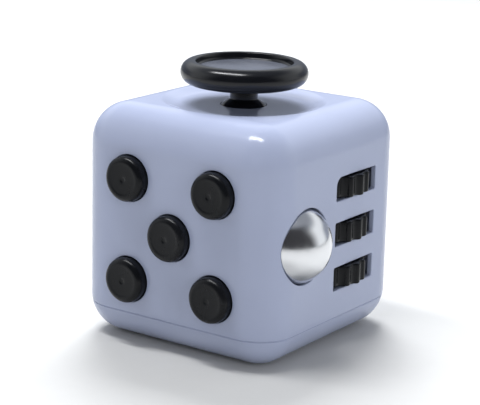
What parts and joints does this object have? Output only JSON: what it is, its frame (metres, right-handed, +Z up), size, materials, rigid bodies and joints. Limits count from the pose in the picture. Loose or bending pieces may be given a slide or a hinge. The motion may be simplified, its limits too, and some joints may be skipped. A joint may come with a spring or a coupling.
{
  "type": "fidget cube",
  "caption": "Palm-sized fidget cube with press buttons, ribbed thumb wheels, a clickable steel ball, a tilting joystick, a rocker, a turning dial and a thumb dish.",
  "frame": {"origin": "middle of the flat bottom face that the cube stands on", "axes": "+Z up through the joystick face; -Y is the button face; +X is the wheel and ball face; +Y is the rocker face; -X is the dial face"},
  "size_m": [0.039, 0.0362, 0.0384],
  "materials": {
    "case_plastic": "smooth injection-moulded plastic, glossy",
    "black_satin": "satin moulded plastic with soft highlights",
    "black_gloss": "semi-gloss moulded plastic",
    "grey_plastic": "plain moulded inner parts",
    "polished_steel": "mirror-polished bearing ball",
    "plain_steel": "turned or headed steel",
    "spring_steel": "drawn wire and thin sheet",
    "silicone": "soft translucent rubber"
  },
  "bodies": {
    "case": {"main_shell": "case_plastic", "bottom_cover": "case_plastic", "button_carrier": "grey_plastic", "snap_dome_upper_left": "spring_steel", "snap_dome_centre": "spring_steel", "snap_dome_lower_right": "spring_steel", "silicone_pad_upper_right": "silicone", "silicone_pad_lower_left": "silicone", "wheel_axle": "plain_steel", "wheel_bracket": "grey_plastic", "ball_spring": "spring_steel", "ball_retainer": "grey_plastic", "joystick_base": "grey_plastic", "joystick_spring": "spring_steel", "rocker_pin": "plain_steel", "rocker_bracket": "grey_plastic", "dial_click_ball": "plain_steel", "dial_click_spring": "spring_steel", "assembly_screws": "plain_steel"},
    "button_upper_left": {"button_upper_left": "black_satin"},
    "button_upper_right": {"button_upper_right": "black_satin"},
    "button_centre": {"button_centre": "black_satin"},
    "button_lower_left": {"button_lower_left": "black_satin"},
    "button_lower_right": {"button_lower_right": "black_satin"},
    "gimbal": {"gimbal_ring": "grey_plastic"},
    "joystick": {"joystick_cap": "black_gloss", "joystick_stem": "black_gloss", "joystick_pin": "plain_steel"},
    "wheel_upper": {"wheel_upper": "black_satin"},
    "wheel_middle": {"wheel_middle": "black_satin"},
    "wheel_lower": {"wheel_lower": "black_satin"},
    "ball_cup": {"ball_seat": "grey_plastic"},
    "ball": {"steel_ball": "polished_steel"},
    "rocker": {"rocker": "black_gloss", "rocker_plunger": "plain_steel", "rocker_spring": "spring_steel"},
    "dial": {"dial": "black_gloss", "dial_washer": "plain_steel", "dial_screw": "plain_steel"}
  },
  "joints": [
    {"name": "button_upper_left_press", "type": "slide", "parent": "case", "child": "button_upper_left", "axis": [0, 1, 0], "range_m": [0, 0.0008], "stiffness_N_per_m": 900, "deforming": ["snap_dome_upper_left"]},
    {"name": "button_upper_right_press", "type": "slide", "parent": "case", "child": "button_upper_right", "axis": [0, 1, 0], "range_m": [0, 0.0008], "stiffness_N_per_m": 600, "deforming": ["silicone_pad_upper_right"]},
    {"name": "button_centre_press", "type": "slide", "parent": "case", "child": "button_centre", "axis": [0, 1, 0], "range_m": [0, 0.0008], "stiffness_N_per_m": 900, "deforming": ["snap_dome_centre"]},
    {"name": "button_lower_left_press", "type": "slide", "parent": "case", "child": "button_lower_left", "axis": [0, 1, 0], "range_m": [0, 0.0008], "stiffness_N_per_m": 600, "deforming": ["silicone_pad_lower_left"]},
    {"name": "button_lower_right_press", "type": "slide", "parent": "case", "child": "button_lower_right", "axis": [0, 1, 0], "range_m": [0, 0.0008], "stiffness_N_per_m": 900, "deforming": ["snap_dome_lower_right"]},
    {"name": "joystick_tilt_x", "type": "hinge", "parent": "case", "child": "gimbal", "pos_m": [0, 0, 0.029], "axis": [1, 0, 0], "range_deg": [-9, 9], "stiffness_Nm_per_rad": 0.05},
    {"name": "joystick_tilt_y", "type": "hinge", "parent": "gimbal", "child": "joystick", "pos_m": [0, 0, 0.029], "axis": [0, 1, 0], "range_deg": [-9, 9], "stiffness_Nm_per_rad": 0.05, "deforming": ["joystick_spring"]},
    {"name": "wheel_upper_spin", "type": "hinge", "parent": "case", "child": "wheel_upper", "pos_m": [0.01195, 0.0039, 0.02285], "axis": [0, 0, 1], "continuous": true},
    {"name": "wheel_middle_spin", "type": "hinge", "parent": "case", "child": "wheel_middle", "pos_m": [0.01195, 0.0039, 0.0165], "axis": [0, 0, 1], "continuous": true},
    {"name": "wheel_lower_spin", "type": "hinge", "parent": "case", "child": "wheel_lower", "pos_m": [0.01195, 0.0039, 0.01015], "axis": [0, 0, 1], "continuous": true},
    {"name": "ball_press", "type": "slide", "parent": "case", "child": "ball_cup", "axis": [-1, 0, 0], "range_m": [0, 0.0009], "stiffness_N_per_m": 1200, "deforming": ["ball_spring"]},
    {"name": "ball_roll", "type": "hinge", "parent": "ball_cup", "child": "ball", "pos_m": [0.01405, -0.0082, 0.0165], "axis": [0, 0, 1], "continuous": true},
    {"name": "rocker_flip", "type": "hinge", "parent": "case", "child": "rocker", "pos_m": [0, 0.0132, 0.0165], "axis": [1, 0, 0], "range_deg": [0, 20]},
    {"name": "dial_turn", "type": "hinge", "parent": "case", "child": "dial", "pos_m": [-0.0165, 0, 0.0165], "axis": [-1, 0, 0], "continuous": true}
  ]
}
